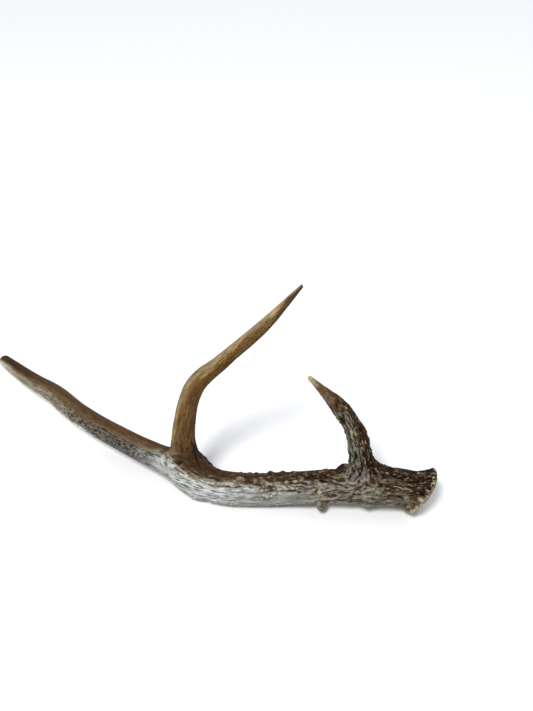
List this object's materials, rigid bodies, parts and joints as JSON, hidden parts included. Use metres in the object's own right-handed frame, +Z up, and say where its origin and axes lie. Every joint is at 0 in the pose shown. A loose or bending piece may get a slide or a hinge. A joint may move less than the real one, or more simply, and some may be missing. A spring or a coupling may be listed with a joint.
{
  "type": "deer antler",
  "caption": "Shed deer antler: a curved main beam with a knobbed burr and ridged base, a rough brow tine and a long smooth second tine.",
  "frame": {"origin": "middle of the bottom of the whole antler's box, on the surface that it lies on", "axes": "+Z up; the beam runs from the burr at +X to its tip at -X, its hollow side towards +Y; both tines rise from it"},
  "size_m": [0.4565, 0.2379, 0.2092],
  "materials": {
    "beam_bone": "matte",
    "brow_bone": "matte",
    "tine_bone": "satin"
  },
  "bodies": {
    "root": {"main_beam": "beam_bone", "brow_tine": "brow_bone", "second_tine": "tine_bone"}
  },
  "joints": []
}
